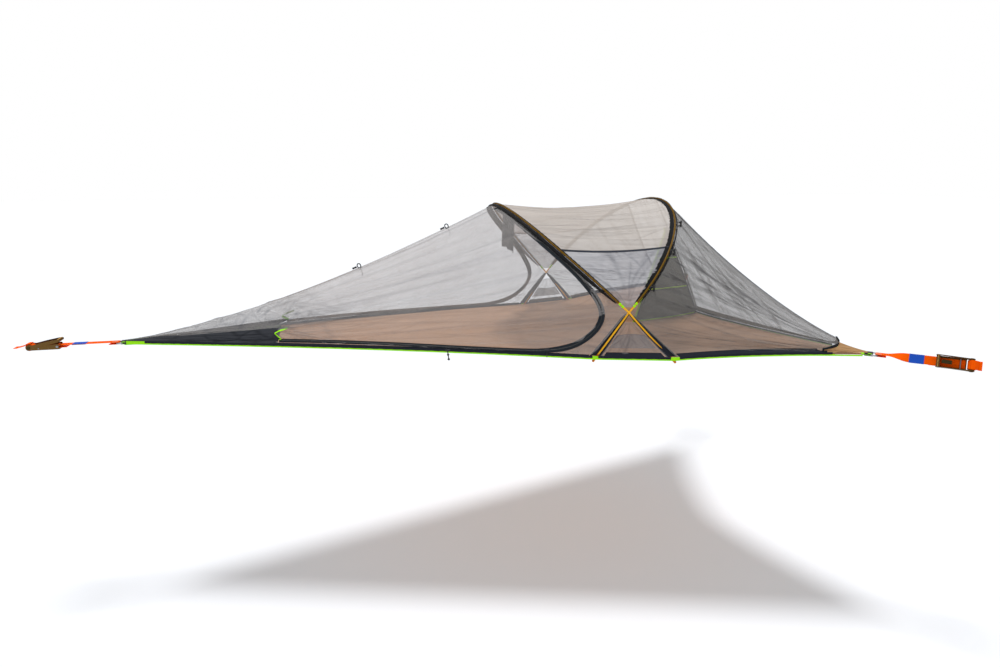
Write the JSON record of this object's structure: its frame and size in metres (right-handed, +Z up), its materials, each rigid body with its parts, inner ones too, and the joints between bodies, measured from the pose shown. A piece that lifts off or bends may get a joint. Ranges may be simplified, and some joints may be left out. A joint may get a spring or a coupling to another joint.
{
  "type": "tree tent",
  "caption": "Suspended triangular tent with a mesh canopy over two crossing pole hoops, held level by a ratchet strap at each corner.",
  "frame": {"origin": "centre of the cut end of the tip strap, where it leaves for its tree", "axes": "+X from the tip to the rear edge along the tent's middle, +Y to the far side, +Z up"},
  "size_m": [5.0174, 3.0934, 0.8881],
  "materials": {
    "mesh_pale": "fine insect mesh, pale grey",
    "mesh_grey": "fine insect mesh, mid grey",
    "floor_tan": "coated woven floor cloth, tan",
    "tip_grey": "coated woven cloth, dark grey",
    "lime_webbing": "woven polyester webbing, lime",
    "black_zip": "coil zip and tape, black",
    "sleeve_black": "woven sleeve tape, black",
    "pole_orange": "anodised, orange",
    "orange_webbing": "woven polyester webbing, orange",
    "bronze_zinc": "yellow zinc plated, worn",
    "silver_steel": "polished steel",
    "pocket_green": "pocket mesh, grey green"
  },
  "bodies": {
    "tent": {"far_door_zip": "black_zip", "far_edge_webbing": "lime_webbing", "far_front_pole_tip": "silver_steel", "far_front_sleeve_clip": "lime_webbing", "far_gusset": "mesh_grey", "far_rear_corner_loop": "lime_webbing", "far_rear_panel": "mesh_grey", "far_rear_pole_tip": "silver_steel", "far_rear_ratchet_frame": "bronze_zinc", "far_rear_ring": "silver_steel", "far_rear_sleeve_clip": "lime_webbing", "far_rear_strap": "orange_webbing", "far_rear_strap_end": "orange_webbing", "far_side_panel": "mesh_grey", "far_side_pocket": "pocket_green", "far_skirt": "tip_grey", "floor_panel": "floor_tan", "front_pole": "pole_orange", "front_sleeve": "sleeve_black", "near_door_zip": "black_zip", "near_edge_webbing": "lime_webbing", "near_front_pole_tip": "silver_steel", "near_front_sleeve_clip": "lime_webbing", "near_gusset": "mesh_grey", "near_rear_corner_loop": "lime_webbing", "near_rear_panel": "mesh_grey", "near_rear_pole_tip": "silver_steel", "near_rear_ratchet_frame": "bronze_zinc", "near_rear_ring": "silver_steel", "near_rear_sleeve_clip": "lime_webbing", "near_rear_strap": "orange_webbing", "near_rear_strap_end": "orange_webbing", "near_side_panel": "mesh_grey", "near_side_pocket": "pocket_green", "near_skirt": "tip_grey", "rear_edge_webbing": "lime_webbing", "rear_pole": "pole_orange", "rear_sleeve": "sleeve_black", "rear_wall": "mesh_grey", "ridge_strip": "mesh_pale", "ridge_toggle_ring": "black_zip", "roof_panel": "mesh_pale", "storage_divider": "pocket_green", "tie_flap": "mesh_grey", "tip_corner_loop": "lime_webbing", "tip_patch": "tip_grey", "tip_ratchet_frame": "bronze_zinc", "tip_ring": "silver_steel", "tip_strap": "orange_webbing", "tip_strap_end": "orange_webbing"},
    "near_door": {"near_door": "mesh_pale"},
    "near_zip_slider": {"near_zip_slider": "silver_steel"},
    "far_door": {"far_door": "mesh_pale"},
    "far_zip_slider": {"far_zip_slider": "silver_steel"},
    "tip_handle": {"tip_ratchet_handle": "bronze_zinc"},
    "tip_spindle": {"tip_spindle": "bronze_zinc"},
    "near_rear_handle": {"near_rear_ratchet_handle": "bronze_zinc"},
    "near_rear_spindle": {"near_rear_spindle": "bronze_zinc"},
    "far_rear_handle": {"far_rear_ratchet_handle": "bronze_zinc"},
    "far_rear_spindle": {"far_rear_spindle": "bronze_zinc"}
  },
  "joints": [
    {"name": "near_door_swing", "type": "hinge", "parent": "tent", "child": "near_door", "pos_m": [1.28854, -0.02922, 0.16625], "axis": [-0.9285, 0.0351, -0.3697], "range_deg": [0, 60]},
    {"name": "near_zip_slide", "type": "slide", "parent": "tent", "child": "near_zip_slider", "axis": [-0.9579, 0.286, 0.0261], "range_m": [0, 0.863]},
    {"name": "far_door_swing", "type": "hinge", "parent": "tent", "child": "far_door", "pos_m": [1.28854, 0.02922, 0.16625], "axis": [0.9285, 0.0351, 0.3697], "range_deg": [0, 60]},
    {"name": "far_zip_slide", "type": "slide", "parent": "tent", "child": "far_zip_slider", "axis": [-0.9579, -0.286, 0.0261], "range_m": [0, 0.863]},
    {"name": "tip_handle_swing", "type": "hinge", "parent": "tent", "child": "tip_handle", "pos_m": [0.08, 0, 0], "axis": [0, -1, 0], "range_deg": [0, 110]},
    {"name": "tip_spindle_turn", "type": "hinge", "parent": "tent", "child": "tip_spindle", "pos_m": [0.08, 0, 0], "axis": [0, -1, 0], "continuous": true},
    {"name": "near_rear_handle_swing", "type": "hinge", "parent": "tent", "child": "near_rear_handle", "pos_m": [4.97708, -1.50934, 0], "axis": [0.2408, 0.2708, 0.932], "range_deg": [0, 110]},
    {"name": "near_rear_spindle_turn", "type": "hinge", "parent": "tent", "child": "near_rear_spindle", "pos_m": [4.97708, -1.50934, 0], "axis": [0.2408, 0.2708, 0.932], "continuous": true},
    {"name": "far_rear_handle_swing", "type": "hinge", "parent": "tent", "child": "far_rear_handle", "pos_m": [4.97708, 1.50934, 0], "axis": [-0.2408, 0.2708, -0.932], "range_deg": [0, 110]},
    {"name": "far_rear_spindle_turn", "type": "hinge", "parent": "tent", "child": "far_rear_spindle", "pos_m": [4.97708, 1.50934, 0], "axis": [-0.2408, 0.2708, -0.932], "continuous": true}
  ]
}
